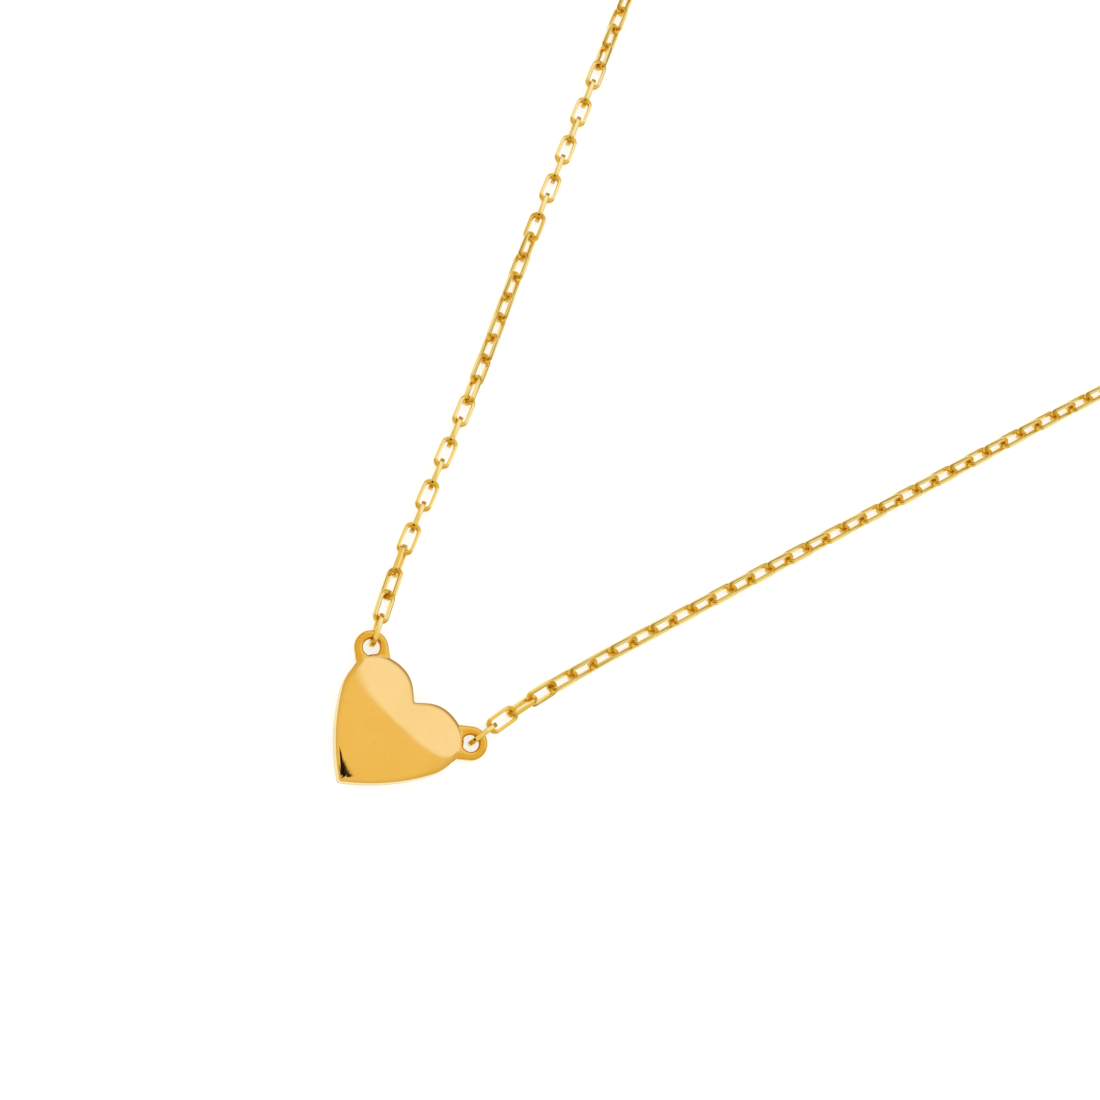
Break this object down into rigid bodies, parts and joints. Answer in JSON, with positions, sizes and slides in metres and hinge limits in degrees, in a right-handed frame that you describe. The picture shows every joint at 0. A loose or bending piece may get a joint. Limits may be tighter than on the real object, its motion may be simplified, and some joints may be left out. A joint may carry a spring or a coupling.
{
  "type": "heart pendant necklace",
  "caption": "Fine gold necklace: a small domed heart between two flat lugs on a cable chain that closes with a spring ring clasp.",
  "frame": {"origin": "middle of the heart's flat back, halfway between its tip and the top of its lobes", "axes": "+Y from the heart's tip to its notch and on along the loop, +X to the right lobe seen from the front, +Z out of the heart's front"},
  "size_m": [0.0892, 0.186, 0.0028],
  "materials": {
    "yellow_gold": "polished yellow gold"
  },
  "bodies": {
    "root": {"heart_pendant": "yellow_gold", "chain_left_links": "yellow_gold", "chain_right_links": "yellow_gold", "chain_left_back": "yellow_gold", "chain_right_back": "yellow_gold", "spring_ring_clasp": "yellow_gold", "end_ring": "yellow_gold"}
  },
  "joints": []
}
